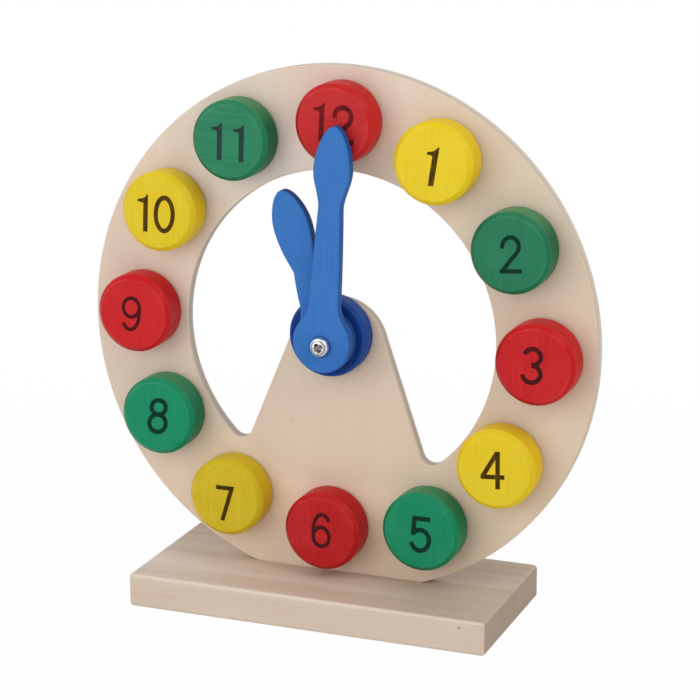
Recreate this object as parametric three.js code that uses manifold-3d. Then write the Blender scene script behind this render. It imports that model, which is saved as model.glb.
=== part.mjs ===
// Wooden teaching clock: twelve number blocks on a thin round plate that stands in a base board,
// with an hour hand and a minute hand that are turned by hand on one screw.
// Millimetres, +X right, +Y back, +Z up. The origin is on the table, under the middle of the dial.
import * as THREE from "three";
import { mergeVertices } from "three/addons/utils/BufferGeometryUtils.js";
import Module from "manifold-3d";

const wasm = await Module();
wasm.setup();

// Base board
const baseLength = 153.2;
const baseDepth = 71;
const baseHeight = 14;
const baseCornerRadius = 2;
const baseEdgeRadius = 1.7;
const baseShift = -2.65;
const grooveDepth = 6.5;
const grooveSetback = 1.3;

// Dial plate: a round disc with one large opening, whose tongue carries the hands
const dialRadius = 107.5;
const dialTurnDegrees = 2;
const plateThickness = 5;
const plateEdgeRadius = 0.5;
const ringWidth = 41.5;
const openingFilletRadius = 5;
const tongueMargin = 3.65;
const tongueDrop = 5.8;
const tongueFlareDegrees = 20.7;

// Number blocks, and the pegs that they plug onto
const blockCount = 12;
const blockDiameter = 32.4;
const blockThickness = 12.6;
const blockFrontChamfer = 1.9;
const blockBackChamfer = 1;
const blockFaceThickness = 4.3;
const blockRimDistance = 22.5;
const blockCircleLift = 1;
const lowestBlock = 6;
const lowestBlockClearance = 4.2;
const pegDiameter = 8;
const pegTipClearance = 0.6;
const pegTipChamfer = 0.8;

// How far to the right of its even place, and how far above it, a block was set by hand
const strayBlocks = {
  1: { right: -1.5, up: 0.1 },
  3: { right: 0.5, up: -0.2 },
  4: { right: -1.9, up: -1.9 },
  5: { right: -0.5, up: -1.5 },
  8: { right: 0.1, up: -0.6 },
  9: { right: 0.2, up: -0.9 },
  10: { right: -0.7, up: 0 },
  11: { right: -1.1, up: 0.9 },
};

// Hub disc, glued a little to the left of the dial's middle
const hubRadius = 16.4;
const hubEdgeRadius = 2;
const hubShift = -1.5;

// Hands, whose bore sits a little below the middle of their round end
const handThickness = 4.7;
const handEdgeRadius = 1;
const handEndMargin = 4.3;
const handBoreDrop = 1.1;
const hourTipClearance = 0.5;
const hourLeafWidth = 15.6;
const hourNeckWidth = 9.6;
const hourFootWidth = 12.4;
const hourHandDegrees = -17.3;
const minuteTipOverlap = 1.75;
const minuteLeafWidth = 15.4;
const minuteNeckWidth = 9.5;
const minuteFootWidth = 12.4;
const minuteHandDegrees = 3.9;
const minuteBlockClearance = 1.3;

// Pivot screw: pan head with a cross recess, a little below the dial's middle
const pivotDrop = 1;
const pivotHeadDiameter = 8;
const pivotHeadHeight = 2.8;
const pivotRimHeight = 1;
const pivotCrownDiameter = 3.6;
const pivotShankDiameter = 4;
const pivotPlateBite = 0.8;
const pivotPointLength = 4;
const recessLength = 4.4;
const recessFloorLength = 1.8;
const recessWidth = 0.9;
const recessDepth = 1.7;

// Countersunk screws under the base
const baseScrewHeadOverhang = 1.5;
const baseScrewHeadHeight = 1.7;
const baseScrewCheek = 1;
const baseScrewLength = 18;
const baseScrewPointLength = 3.5;
const baseScrewSpacing = 40;

// Gaps: under glued or screwed pieces, between turning faces, and round a peg or a screw
const seatGap = 0.3;
const runningGap = 0.3;
const boreGap = 0.2;
const cutOverrun = 1;

// How many straight steps make a full circle, and how many make an eased edge or a hand's curve
const dialSegments = 96;
const blockSegments = 32;
const hubSegments = 48;
const hubEdgeSegments = 12;
const filletSegments = 24;
const tongueSegments = 48;
const boreSegments = 16;
const screwSegments = 20;
const curveSteps = 8;
const crownSteps = 4;
const boardEdgeSteps = 3;
const plateEdgeSteps = 1;
const handEdgeSteps = 2;

// Shares that shape the hands: how much of the reach the leaf's two parts take, where the neck ends,
// where the leaf swells and how its tip closes
const hourTipShare = 0.243;
const hourLeafShare = 0.291;
const hourNeckHoldShare = 0.1;
const minuteTipShare = 0.207;
const minuteLeafShare = 0.169;
const minuteNeckHoldShare = 0.33;
const leafSwellShare = 0.35;
const leafShoulderShare = 0.44;
const leafTipShare = 0.5;
const shaftBulgeShare = 0.75;
const footReachShare = 1.35;
const footAngleDegrees = 35;

const halfTurn = Math.PI;
const quarterTurn = Math.PI / 2;
const fullTurn = 2 * Math.PI;
const flare = THREE.MathUtils.degToRad(tongueFlareDegrees);
const dialTurn = THREE.MathUtils.degToRad(dialTurnDegrees);

// Places that follow from the sizes. The dial's own pieces are counted ahead of the plate's front.
const dialHeight = baseHeight - grooveDepth + dialRadius;
const openingRadius = dialRadius - ringWidth;
const tongueTopRadius = hubRadius + tongueMargin;
const plateFront = grooveSetback - plateThickness / 2;
const blockFront = seatGap + blockThickness;
const socketEnd = blockFront - blockFaceThickness;
const pegReach = socketEnd - pegTipClearance;
const minuteBack = blockFront + minuteBlockClearance;
const hourBack = minuteBack - runningGap - handThickness;
const hubFront = hourBack - runningGap;
const pivotHeadBack = minuteBack + handThickness + runningGap;

// Distances from the middle of the dial to the blocks, and from the pivot to the tips of the hands
const blockCircleRadius = dialRadius - blockRimDistance;
const baseTopDistance = dialHeight - baseHeight;
const lowestBlockRadius = baseTopDistance + blockCircleLift - lowestBlockClearance - blockDiameter / 2;
const lowestBlockTop = lowestBlockRadius - blockCircleLift - blockDiameter / 2;
const handEndRadius = hubRadius - handEndMargin;
const hourReach = lowestBlockTop - pivotDrop - hourTipClearance;
const minuteReach = blockCircleRadius + pivotDrop + minuteTipOverlap;

// Closed solid from a geometry, without the triangles that close to a line on a turning axis
function toSolid(geometry) {
  const bare = geometry.clone();
  bare.deleteAttribute("normal");
  bare.deleteAttribute("uv");
  const welded = mergeVertices(bare);
  const corners = welded.index.array;
  const kept = [];
  for (let first = 0; first < corners.length; first += 3) {
    const [a, b, c] = corners.slice(first, first + 3);
    if (a !== b && b !== c && c !== a) kept.push(a, b, c);
  }
  const mesh = new wasm.Mesh({
    numProp: 3,
    vertProperties: new Float32Array(welded.attributes.position.array),
    triVerts: new Uint32Array(kept),
  });
  return new wasm.Manifold(mesh);
}

function toGeometry(solid) {
  const mesh = solid.getMesh();
  const geometry = new THREE.BufferGeometry();
  geometry.setAttribute("position", new THREE.BufferAttribute(mesh.vertProperties, 3));
  geometry.setIndex(new THREE.BufferAttribute(mesh.triVerts, 1));
  geometry.computeVertexNormals();
  return geometry;
}

function cut(geometry, tools) {
  let solid = toSolid(geometry);
  for (const tool of tools) {
    solid = solid.subtract(toSolid(tool));
  }
  return toGeometry(solid);
}

// Points along an arc, both ends included
function arcPoints(centreX, centreY, radius, from, to, segments) {
  const steps = Math.max(1, Math.ceil((Math.abs(to - from) / fullTurn) * segments));
  const points = [];
  for (let step = 0; step <= steps; step += 1) {
    const angle = from + ((to - from) * step) / steps;
    points.push(new THREE.Vector2(centreX + radius * Math.cos(angle), centreY + radius * Math.sin(angle)));
  }
  return points;
}

// A board sawn to an outline with both edges eased, lying flat with its underside at zero
function easedBoard(shape, thickness, edgeRadius, edgeSteps) {
  const board = new THREE.ExtrudeGeometry(shape, {
    depth: thickness - 2 * edgeRadius,
    bevelThickness: edgeRadius,
    bevelSize: edgeRadius,
    bevelOffset: -edgeRadius,
    bevelSegments: edgeSteps,
    curveSegments: curveSteps,
  });
  return board.translate(0, 0, edgeRadius);
}

// A piece turned on a lathe, facing forward. A profile point is a radius and a distance ahead.
function turnedPiece(profile, segments) {
  return new THREE.LatheGeometry(profile, segments).rotateX(halfTurn);
}

function point(radius, ahead) {
  return new THREE.Vector2(radius, ahead);
}

// A drill that clears from one distance ahead to another
function drill(radius, from, to) {
  return turnedPiece([point(0, from), point(radius, from), point(radius, to), point(0, to)], boreSegments);
}

// Where a block and its peg sit on the plate, from the middle of the dial
function blockPlace(number) {
  const angle = (number * fullTurn) / blockCount;
  const radius = number === lowestBlock ? lowestBlockRadius : blockCircleRadius;
  const { right, up } = strayBlocks[number] ?? { right: 0, up: 0 };
  const height = radius * Math.cos(angle) + blockCircleLift + up;
  return new THREE.Vector2(radius * Math.sin(angle) + right, height);
}

// Base board: a rounded slab with an arched groove that holds the rim of the plate
function baseBoard() {
  const cornerX = baseLength / 2 - baseCornerRadius;
  const cornerY = baseDepth / 2 - baseCornerRadius;
  const outline = new THREE.Shape([
    ...arcPoints(cornerX, cornerY, baseCornerRadius, 0, quarterTurn, boreSegments),
    ...arcPoints(-cornerX, cornerY, baseCornerRadius, quarterTurn, halfTurn, boreSegments),
    ...arcPoints(-cornerX, -cornerY, baseCornerRadius, -halfTurn, -quarterTurn, boreSegments),
    ...arcPoints(cornerX, -cornerY, baseCornerRadius, -quarterTurn, 0, boreSegments),
  ]);
  const slab = easedBoard(outline, baseHeight, baseEdgeRadius, boardEdgeSteps);
  slab.translate(baseShift, 0, 0);
  return cut(slab, [grooveTool(), baseScrew(-1, boreGap), baseScrew(1, boreGap)]);
}

// The groove is as wide as the plate with its gaps, and its floor follows the plate's rim
function grooveTool() {
  const radius = dialRadius + seatGap;
  const groove = new THREE.CylinderGeometry(radius, radius, plateThickness + 2 * seatGap, dialSegments);
  groove.rotateY(dialTurn + quarterTurn);
  return groove.translate(0, grooveSetback, dialHeight);
}

// Opening of the plate: up and over the tongue, down to a filleted corner, and round the inner circle.
// The tongue's round top sits lower than the dial's middle.
function openingOutline() {
  const filletOrbit = openingRadius - openingFilletRadius;
  const filletOffset = tongueTopRadius + openingFilletRadius - tongueDrop * Math.sin(flare);
  const along = Math.sqrt(filletOrbit ** 2 - filletOffset ** 2);
  const filletX = filletOffset * Math.cos(flare) + along * Math.sin(flare);
  const filletY = filletOffset * Math.sin(flare) - along * Math.cos(flare);
  const filletAngle = Math.atan2(filletY, filletX);
  const rightFillet = [filletX, filletY, openingFilletRadius, flare - halfTurn, filletAngle, filletSegments];
  const leftFillet = [
    -filletX, filletY, openingFilletRadius, halfTurn - filletAngle, fullTurn - flare, filletSegments,
  ];
  const tongueTop = arcPoints(0, -tongueDrop, tongueTopRadius, halfTurn - flare, flare, tongueSegments);
  const innerCircle = arcPoints(0, 0, openingRadius, filletAngle, halfTurn - filletAngle, dialSegments);
  return new THREE.Path([
    ...tongueTop,
    ...arcPoints(...rightFillet),
    ...innerCircle.slice(1, -1),
    ...arcPoints(...leftFillet),
  ]);
}

// Dial plate, drilled for the pegs, for the pivot screw's point and for the two base screws
function clockPlate() {
  const disc = new THREE.Shape(arcPoints(0, 0, dialRadius, 0, fullTurn, dialSegments).slice(1));
  disc.holes.push(openingOutline());
  const plate = easedBoard(disc, plateThickness, plateEdgeRadius, plateEdgeSteps);
  plate.rotateX(quarterTurn);
  plate.translate(0, plateThickness, 0);

  const tools = [];
  for (let number = 1; number <= blockCount; number += 1) {
    const place = blockPlace(number);
    const hole = drill(pegDiameter / 2 + boreGap, -plateThickness - cutOverrun, cutOverrun);
    tools.push(hole.translate(place.x, 0, place.y));
  }
  const pointHole = drill(pivotShankDiameter / 2 + boreGap, -pivotPlateBite - boreGap, cutOverrun);
  pointHole.translate(0, 0, -pivotDrop);
  tools.push(pointHole.rotateY(-dialTurn));
  for (const side of [-1, 1]) {
    const pilot = baseScrew(side, boreGap);
    pilot.translate(0, -plateFront, -dialHeight);
    tools.push(pilot.rotateY(-dialTurn));
  }
  return cut(plate, tools);
}

// Peg: a dowel flush with the back of the plate, with a chamfered tip that reaches into its block
function peg() {
  const radius = pegDiameter / 2;
  return turnedPiece([
    point(0, -plateThickness),
    point(radius, -plateThickness),
    point(radius, pegReach - pegTipChamfer),
    point(radius - pegTipChamfer, pegReach),
    point(0, pegReach),
  ], boreSegments);
}

// Number block: a turned disc with chamfered edges and a blind socket in its back
function numberBlock() {
  const radius = blockDiameter / 2;
  const socketRadius = pegDiameter / 2 + boreGap;
  return turnedPiece([
    point(0, socketEnd),
    point(socketRadius, socketEnd),
    point(socketRadius, seatGap),
    point(radius - blockBackChamfer, seatGap),
    point(radius, seatGap + blockBackChamfer),
    point(radius, blockFront - blockFrontChamfer),
    point(radius - blockFrontChamfer, blockFront),
    point(0, blockFront),
  ], blockSegments);
}

// Hub disc: the glued boss that the pivot screw bites in, drilled off its middle
function hubDisc() {
  const frontEdge = [hubRadius - hubEdgeRadius, hubFront - hubEdgeRadius, hubEdgeRadius, 0, quarterTurn];
  const disc = turnedPiece([
    point(0, seatGap),
    point(hubRadius, seatGap),
    ...arcPoints(...frontEdge, hubEdgeSegments),
    point(0, hubFront),
  ], hubSegments);
  disc.translate(hubShift, 0, pivotDrop);
  return cut(disc, [drill(pivotShankDiameter / 2 + boreGap, -cutOverrun, hubFront + cutOverrun)]);
}

// Outline of a hand that points up: round end, shaft that narrows to a neck, and a leaf-shaped tip
function handOutline(hand) {
  const reach = hand.reach - handBoreDrop;
  const tipLength = reach * hand.tipShare;
  const leafRise = reach * hand.leafShare;
  const leafHeight = reach - tipLength;
  const neckHeight = leafHeight - leafRise;
  const leafHalf = hand.leafWidth / 2;
  const neckHalf = hand.neckWidth / 2;
  const footHalf = hand.footWidth / 2;
  const footAngle = THREE.MathUtils.degToRad(footAngleDegrees);
  const footX = handEndRadius * Math.cos(footAngle);
  const footY = handEndRadius * Math.sin(footAngle);
  const footBend = footY + (footX - footHalf) / Math.tan(footAngle);
  const footTop = handEndRadius * footReachShare;
  const shaftMiddle = (footTop + neckHeight) / 2;
  const shaftHalf = neckHalf + (footHalf - neckHalf) * shaftBulgeShare;
  const neckEnd = neckHeight + leafRise * hand.neckHoldShare;
  const swell = neckEnd + leafRise * leafSwellShare;
  const shoulder = leafHeight + tipLength * leafShoulderShare;
  const tipHalf = leafHalf * leafTipShare;

  const edge = new THREE.Path();
  edge.moveTo(footX, footY);
  edge.quadraticCurveTo(footHalf, footBend, footHalf, footTop);
  edge.quadraticCurveTo(shaftHalf, shaftMiddle, neckHalf, neckHeight);
  edge.bezierCurveTo(neckHalf, neckEnd, leafHalf, swell, leafHalf, leafHeight);
  edge.bezierCurveTo(leafHalf, shoulder, tipHalf, reach, 0, reach);
  const right = edge.getPoints(curveSteps);
  const left = right.slice(0, -1).reverse().map(({ x, y }) => new THREE.Vector2(-x, y));
  const end = arcPoints(0, 0, handEndRadius, halfTurn - footAngle, fullTurn + footAngle, blockSegments);
  return new THREE.Shape([...right, ...left, ...end.slice(1, -1)]);
}

// Hand: sawn, eased and drilled, then set ahead of the plate at its place in the stack
function handBoard(hand) {
  const board = easedBoard(handOutline(hand), handThickness, handEdgeRadius, handEdgeSteps);
  board.translate(0, handBoreDrop, 0);
  board.rotateX(quarterTurn);
  const bore = drill(pivotShankDiameter / 2 + boreGap, -cutOverrun, handThickness + cutOverrun);
  return cut(board, [bore]).translate(0, -hand.back, 0);
}

// Pivot screw: point, straight shank, and a pan head whose rim rises to a low crown
function pivotScrew() {
  const headRadius = pivotHeadDiameter / 2;
  const shankRadius = pivotShankDiameter / 2;
  const crownRadius = pivotCrownDiameter / 2;
  const rim = pivotHeadBack + pivotRimHeight;
  const top = pivotHeadBack + pivotHeadHeight;
  const profile = [
    point(0, -pivotPlateBite),
    point(shankRadius, pivotPointLength - pivotPlateBite),
    point(shankRadius, pivotHeadBack),
    point(headRadius, pivotHeadBack),
  ];
  for (let step = 0; step <= crownSteps; step += 1) {
    const angle = (quarterTurn * step) / crownSteps;
    const radius = crownRadius + (headRadius - crownRadius) * Math.cos(angle);
    profile.push(point(radius, rim + (top - rim) * Math.sin(angle)));
  }
  profile.push(point(0, top));
  return cut(turnedPiece(profile, screwSegments), [recessWing(top, 0), recessWing(top, quarterTurn)]);
}

// One blade of the cross recess: it shortens towards its floor
function recessWing(top, turn) {
  const half = recessLength / 2;
  const floorHalf = recessFloorLength / 2;
  const profile = new THREE.Shape([
    new THREE.Vector2(-half, cutOverrun),
    new THREE.Vector2(-half, 0),
    new THREE.Vector2(-floorHalf, -recessDepth),
    new THREE.Vector2(floorHalf, -recessDepth),
    new THREE.Vector2(half, 0),
    new THREE.Vector2(half, cutOverrun),
  ]);
  const wing = new THREE.ExtrudeGeometry(profile, { depth: recessWidth, bevelEnabled: false });
  wing.translate(0, 0, -recessWidth / 2);
  wing.rotateX(halfTurn);
  wing.rotateY(turn);
  return wing.translate(0, -top, 0);
}

// Base screw, pointing up into the plate's rim. With a gap it is the tool for its own hole.
function baseScrew(side, gap) {
  const shankRadius = plateThickness / 2 - baseScrewCheek + gap;
  const headRadius = shankRadius + baseScrewHeadOverhang;
  const headEnd = gap > 0 ? -cutOverrun : seatGap;
  const shankEnd = seatGap + baseScrewLength - baseScrewPointLength;
  const screw = new THREE.LatheGeometry([
    point(0, headEnd),
    point(headRadius, headEnd),
    point(headRadius, seatGap + gap),
    point(shankRadius, seatGap + gap + baseScrewHeadHeight),
    point(shankRadius, shankEnd),
    point(0, seatGap + baseScrewLength + gap),
  ], boreSegments);
  screw.rotateX(quarterTurn);
  return screw.translate((side * baseScrewSpacing) / 2, grooveSetback, 0);
}

function paint(color, roughness) {
  return new THREE.MeshStandardMaterial({ color, roughness, metalness: 0 });
}

function addPiece(group, name, geometry, material) {
  const mesh = new THREE.Mesh(geometry, material);
  mesh.name = name;
  group.add(mesh);
  return mesh;
}

const plywood = paint(0xd6c3b0, 0.6);
const boardWood = paint(0xc8a98c, 0.6);
const dowelWood = paint(0xdcc6a6, 0.65);
const handBlue = paint(0x4074b8, 0.45);
const hubBlue = paint(0x1d3f86, 0.45);
const blockPaints = [paint(0xc43030, 0.45), paint(0xe2c440, 0.45), paint(0x2a8565, 0.45)];
const steel = new THREE.MeshStandardMaterial({ color: 0xd8dade, roughness: 0.25, metalness: 1 });

const clock = new THREE.Group();
addPiece(clock, "base_board", baseBoard(), boardWood);
addPiece(clock, "base_screw_left", baseScrew(-1, 0), steel);
addPiece(clock, "base_screw_right", baseScrew(1, 0), steel);

const dial = new THREE.Group();
dial.position.set(0, plateFront, dialHeight);
dial.rotation.y = dialTurn;
clock.add(dial);
addPiece(dial, "clock_plate", clockPlate(), plywood);
for (let number = 1; number <= blockCount; number += 1) {
  const place = blockPlace(number);
  const dowel = addPiece(dial, `peg_${number}`, peg(), dowelWood);
  const blockPaint = blockPaints[number % blockPaints.length];
  const block = addPiece(dial, `number_block_${number}`, numberBlock(), blockPaint);
  dowel.position.set(place.x, 0, place.y);
  block.position.set(place.x, 0, place.y);
}

const hands = new THREE.Group();
hands.position.set(0, plateFront, dialHeight - pivotDrop);
clock.add(hands);
addPiece(hands, "hub_disc", hubDisc(), hubBlue);
const hourHand = addPiece(hands, "hour_hand", handBoard({
  reach: hourReach,
  tipShare: hourTipShare,
  leafShare: hourLeafShare,
  leafWidth: hourLeafWidth,
  neckWidth: hourNeckWidth,
  footWidth: hourFootWidth,
  neckHoldShare: hourNeckHoldShare,
  back: hourBack,
}), handBlue);
hourHand.rotation.y = THREE.MathUtils.degToRad(hourHandDegrees);
const minuteHand = addPiece(hands, "minute_hand", handBoard({
  reach: minuteReach,
  tipShare: minuteTipShare,
  leafShare: minuteLeafShare,
  leafWidth: minuteLeafWidth,
  neckWidth: minuteNeckWidth,
  footWidth: minuteFootWidth,
  neckHoldShare: minuteNeckHoldShare,
  back: minuteBack,
}), handBlue);
minuteHand.rotation.y = THREE.MathUtils.degToRad(minuteHandDegrees);
addPiece(hands, "pivot_screw", pivotScrew(), steel);

export default clock;
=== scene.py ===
from math import atan2, ceil, cos, pi, radians, sin, sqrt, tan

import bmesh
import bpy
from mathutils import Matrix, Vector, geometry


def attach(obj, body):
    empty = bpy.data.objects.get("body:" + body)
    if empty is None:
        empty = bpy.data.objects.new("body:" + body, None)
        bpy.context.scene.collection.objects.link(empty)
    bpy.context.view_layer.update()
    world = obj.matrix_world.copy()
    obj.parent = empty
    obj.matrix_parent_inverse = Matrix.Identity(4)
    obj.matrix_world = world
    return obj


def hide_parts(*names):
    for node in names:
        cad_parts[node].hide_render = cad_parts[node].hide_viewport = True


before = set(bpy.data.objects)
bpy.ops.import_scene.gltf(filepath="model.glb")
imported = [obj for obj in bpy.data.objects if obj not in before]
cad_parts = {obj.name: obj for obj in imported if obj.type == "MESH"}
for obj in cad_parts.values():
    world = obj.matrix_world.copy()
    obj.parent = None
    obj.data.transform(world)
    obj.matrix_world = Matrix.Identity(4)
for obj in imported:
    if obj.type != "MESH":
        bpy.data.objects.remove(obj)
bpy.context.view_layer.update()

# Base board. A planed slab of pale solid wood with its long grain along X and every edge rounded
# over. An arched groove in its top holds the rim of the dial plate, and two screw holes come up
# through it from countersinks in the underside.
mm = 0.001
base_length = 153.2 * mm
base_depth = 71 * mm
base_height = 14 * mm
base_corner_radius = 2 * mm
base_corner_segments = 64
base_edge_radius = 1.7 * mm
base_edge_steps = 8
base_shift = -2.65 * mm
seat_gap = 0.3 * mm
bore_gap = 0.2 * mm
plate_thickness = 5 * mm
dial_radius = 107.5 * mm
groove_setback = 1.3 * mm
groove_depth = 6.5 * mm
groove_segments = 512
dial_height = base_height - groove_depth + dial_radius
plate_front = groove_setback - plate_thickness / 2
screw_spacing = 40 * mm
countersink_radius = 3.2 * mm
countersink_depth = 2.2 * mm
pilot_radius = 1.7 * mm
pilot_depth = 19 * mm
# How far a cutting tool starts outside the face that it cuts
overcut = 1 * mm
# An edge that bends by more than this stays sharp
crease = radians(35)
bore_segments = 48
# Turns a flat outline, or a piece that stands on end, so that it faces the front
upright = Matrix.Rotation(pi / 2, 4, "X")


def arc(centre_x, centre_y, radius, start, end, segments):
    """Points along an arc, both ends included."""
    steps = max(1, ceil(abs(end - start) / (2 * pi) * segments))
    angles = [start + (end - start) * step / steps for step in range(steps + 1)]
    return [Vector((centre_x + radius * cos(a), centre_y + radius * sin(a))) for a in angles]


def inset(points, distance):
    """The closed loop moved to its left by a distance. A corner sharper than the limit is
    moved less."""
    sharpest = 0.3
    moved = []
    for index, point in enumerate(points):
        before = (point - points[index - 1]).normalized()
        after = (points[(index + 1) % len(points)] - point).normalized()
        left = Vector((-before.y - after.y, before.x + after.x)).normalized()
        reach = max(sharpest, left.dot(Vector((-before.y, before.x))))
        moved.append(point + left * distance / reach)
    return moved


def new_object(name, content):
    """An object in the scene for a mesh, a lamp or a camera."""
    piece = bpy.data.objects.new(name, content)
    bpy.context.scene.collection.objects.link(piece)
    return piece


def mesh_from(name, form, place):
    """A mesh from a bmesh, moved to its place and with its faces turned outwards."""
    bmesh.ops.transform(form, matrix=place, verts=form.verts)
    bmesh.ops.recalc_face_normals(form, faces=form.faces)
    mesh = bpy.data.meshes.new(name)
    form.to_mesh(mesh)
    form.free()
    return mesh


def sawn_board(name, loops, thickness, steps, place):
    """A board sawn to closed loops, the outer one first and the openings clockwise. Each loop
    comes with the radius to which its two edges are eased."""
    form = bmesh.new()
    caps = [([], []), ([], [])]
    for points, edge in loops:
        turns = [pi / 2 * step / steps for step in range(steps + 1)] if edge else [pi / 2]
        rings = [(edge * (1 - sin(turn)), edge * (1 - cos(turn))) for turn in turns]
        rings += [(depth, thickness - height) for depth, height in reversed(rings)]
        rows = []
        for depth, height in rings:
            row = [form.verts.new((p.x, p.y, height)) for p in inset(points, depth)]
            rows.append(row)
        for low, high in zip(rows, rows[1:]):
            for index in range(len(points)):
                corner = (index + 1) % len(points)
                face = form.faces.new((low[index], low[corner], high[corner], high[index]))
                face.smooth = True
        for cap, row in zip(caps, (rows[0], rows[-1])):
            cap[0].append([vert.co.copy() for vert in row])
            cap[1].extend(row)
    for outlines, verts in caps:
        for triangle in geometry.tessellate_polygon(outlines):
            form.faces.new([verts[index] for index in triangle])
    return mesh_from(name, form, place)


def turned(name, profile, segments, place=upright):
    """A piece turned on a lathe. A profile point is a radius, a distance ahead and, where the
    corner is softened, its radius. The axis points forward."""
    corner_steps = 4
    path = []
    for index, corner in enumerate(profile):
        here = Vector(corner[:2])
        if len(corner) == 2:
            path.append(here)
            continue
        before = (Vector(profile[index - 1][:2]) - here).normalized()
        after = (Vector(profile[index + 1][:2]) - here).normalized()
        opening = before.angle(after)
        reach = corner[2] / tan(opening / 2)
        centre = here + (before + after).normalized() * corner[2] / sin(opening / 2)
        first = here + before * reach - centre
        last = here + after * reach - centre
        sweep = first.angle_signed(last)
        for step in range(corner_steps + 1):
            spoke = Matrix.Rotation(-sweep * step / corner_steps, 2) @ first
            path.append(centre + spoke)
    form = bmesh.new()
    rows = []
    for radius, ahead in path:
        if radius == 0:
            rows.append([form.verts.new((0, 0, ahead))])
            continue
        turns = [2 * pi * step / segments for step in range(segments)]
        rows.append([form.verts.new((radius * cos(a), radius * sin(a), ahead)) for a in turns])
    for low, high in zip(rows, rows[1:]):
        for index in range(segments):
            corners = [low[index % len(low)], low[(index + 1) % len(low)]]
            corners += [high[(index + 1) % len(high)], high[index % len(high)]]
            face = form.faces.new(list(dict.fromkeys(corners)))
            face.smooth = True
    mesh = mesh_from(name, form, place)
    mesh.set_sharp_from_angle(angle=crease)
    return mesh


def combined(mesh, others, operation):
    """The mesh with other closed meshes cut from it or joined to it."""
    piece = new_object("work_" + mesh.name, mesh)
    helpers = [new_object(f"tool_{index}", other) for index, other in enumerate(others)]
    for helper in helpers:
        change = piece.modifiers.new(helper.name, "BOOLEAN")
        change.operation = operation
        change.solver = "EXACT"
        change.object = helper
    seen = piece.evaluated_get(bpy.context.evaluated_depsgraph_get())
    result = bpy.data.meshes.new_from_object(seen)
    result.name = mesh.name
    for work in helpers + [piece]:
        bpy.data.objects.remove(work)
    return result


def cut(mesh, tools, angle=crease):
    """The mesh with closed tools cut from it, and its sharp edges kept sharp."""
    result = combined(mesh, tools, "DIFFERENCE")
    result.set_sharp_from_angle(angle=angle)
    return result


class Wire:
    """A socket in a material. Arithmetic on it adds Math nodes, and node() adds any other node."""

    def __init__(self, tree, socket=None):
        self.tree, self.socket = tree, socket

    def node(self, kind, settings, inputs, output=0):
        """A new node, with its settings made first and then its inputs linked or filled in."""
        made = self.tree.nodes.new("ShaderNode" + kind)
        for setting, value in settings.items():
            if setting != "stops":
                setattr(made, setting, value)
                continue
            ramp = made.color_ramp.elements
            while len(ramp) < len(value):
                ramp.new(1)
            for element, (position, shade) in zip(ramp, value):
                element.position = position
                element.color = shade
        for name, value in inputs.items():
            if isinstance(value, Wire):
                self.tree.links.new(value.socket, made.inputs[name])
            else:
                made.inputs[name].default_value = value
        return Wire(self.tree, made.outputs[output] if made.outputs else None)

    def math(self, operation, *values):
        """A new Math node on values or wires."""
        return self.node("Math", {"operation": operation}, dict(enumerate(values)))

    def __abs__(self):
        return self.math("ABSOLUTE", self)

    def __add__(self, other):
        return self.math("ADD", self, other)

    def __sub__(self, other):
        return self.math("SUBTRACT", self, other)

    def __rsub__(self, other):
        return self.math("SUBTRACT", other, self)

    def __mul__(self, other):
        return self.math("MULTIPLY", self, other)

    __radd__ = __add__
    __rmul__ = __mul__


def colour(red, green, blue):
    """A colour as it is seen on a screen, 0 to 255, made linear by the screen's own curve."""
    parts = [part / 255 for part in (red, green, blue)]
    return (*[p / 12.92 if p < 0.04045 else ((p + 0.055) / 1.055) ** 2.4 for p in parts], 1)


def new_material(name):
    """A bare material, the wire that its nodes start from, and the place on the object."""
    material = bpy.data.materials.new(name)
    material.use_nodes = True
    material.node_tree.nodes.clear()
    start = Wire(material.node_tree)
    return material, start, start.node("TexCoord", {}, {}, "Object")


def noise(start, where, scales, detail=3, roughness=0.5, seed=0):
    """Noise from 0 to 1, with so many spots to the metre along each axis."""
    sockets = {"Vector": where, "Location": (seed, seed, 0), "Scale": scales}
    spots = start.node("Mapping", {}, sockets)
    shaping = {"Vector": spots, "Scale": 1, "Detail": detail, "Roughness": roughness}
    return start.node("TexNoise", {}, shaping)


def wavering(start, where, scales, reach):
    """The place, moved about by noise, so that the grain on it wavers."""
    wander = noise(start, where, scales, 2) * reach
    return start.node("VectorMath", {"operation": "ADD"}, {0: where, 1: wander})


def span(start, value, low, high):
    """How far a value is from low to high, held between 0 and 1."""
    return start.node("MapRange", {}, {"Value": value, "From Min": low, "From Max": high})


def blended(start, share, first, second):
    """The first colour with a share of the second mixed in."""
    return start.node("Mix", {"data_type": "RGBA"}, {0: share, 6: first, 7: second}, 2)


def layered(start, base, layers):
    """A colour with others laid over it in turn, each a share and a colour as on a screen."""
    for share, shade in layers:
        base = blended(start, share, base, colour(*shade))
    return base


def parts_of(start, vector):
    """The three parts of a place or a direction."""
    return [start.node("SeparateXYZ", {}, {0: vector}, axis) for axis in range(3)]


def facing_of(start):
    """The three parts of the direction that the surface faces."""
    return parts_of(start, start.node("TexCoord", {}, {}, "Normal"))


def from_axis(start, first, second):
    """How far a place is from an axis, from the two parts that lead away from it."""
    away = start.node("CombineXYZ", {}, {"X": first, "Y": second})
    return start.node("VectorMath", {"operation": "LENGTH"}, {0: away}, "Value")


def speck(start, where, place, radius):
    """1 at a small round spot and 0 outside it."""
    core = radius * 0.3
    apart = start.node("VectorMath", {"operation": "DISTANCE"}, {0: where, 1: place}, "Value")
    return span(start, apart, radius, core)


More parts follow.
